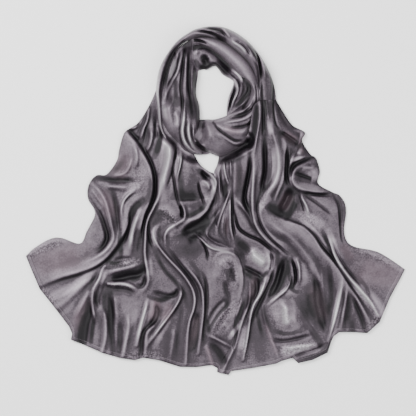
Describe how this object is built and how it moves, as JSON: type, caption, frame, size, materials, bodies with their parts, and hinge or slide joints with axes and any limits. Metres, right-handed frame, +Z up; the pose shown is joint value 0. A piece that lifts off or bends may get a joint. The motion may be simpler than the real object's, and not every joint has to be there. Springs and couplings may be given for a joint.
{
  "type": "satin scarf",
  "caption": "Plain satin scarf laid out flat: wound into a neck ring at the top, with its ends fanned out below in long loose folds.",
  "frame": {"origin": "centre of the scarf's outline, on the floor that it lies on", "axes": "+Z up from the floor, +Y from the hems towards the top of the neck ring, +X to the right as the scarf is seen from above with its ring at the top"},
  "size_m": [0.7576, 0.6958, 0.0383],
  "materials": {
    "satin": "mauve grey satin with a crushed sheen"
  },
  "bodies": {
    "root": {"loop_top": "satin", "loop_left": "satin", "loop_front": "satin", "loop_back": "satin", "left_tail": "satin", "right_tail": "satin"}
  },
  "joints": []
}
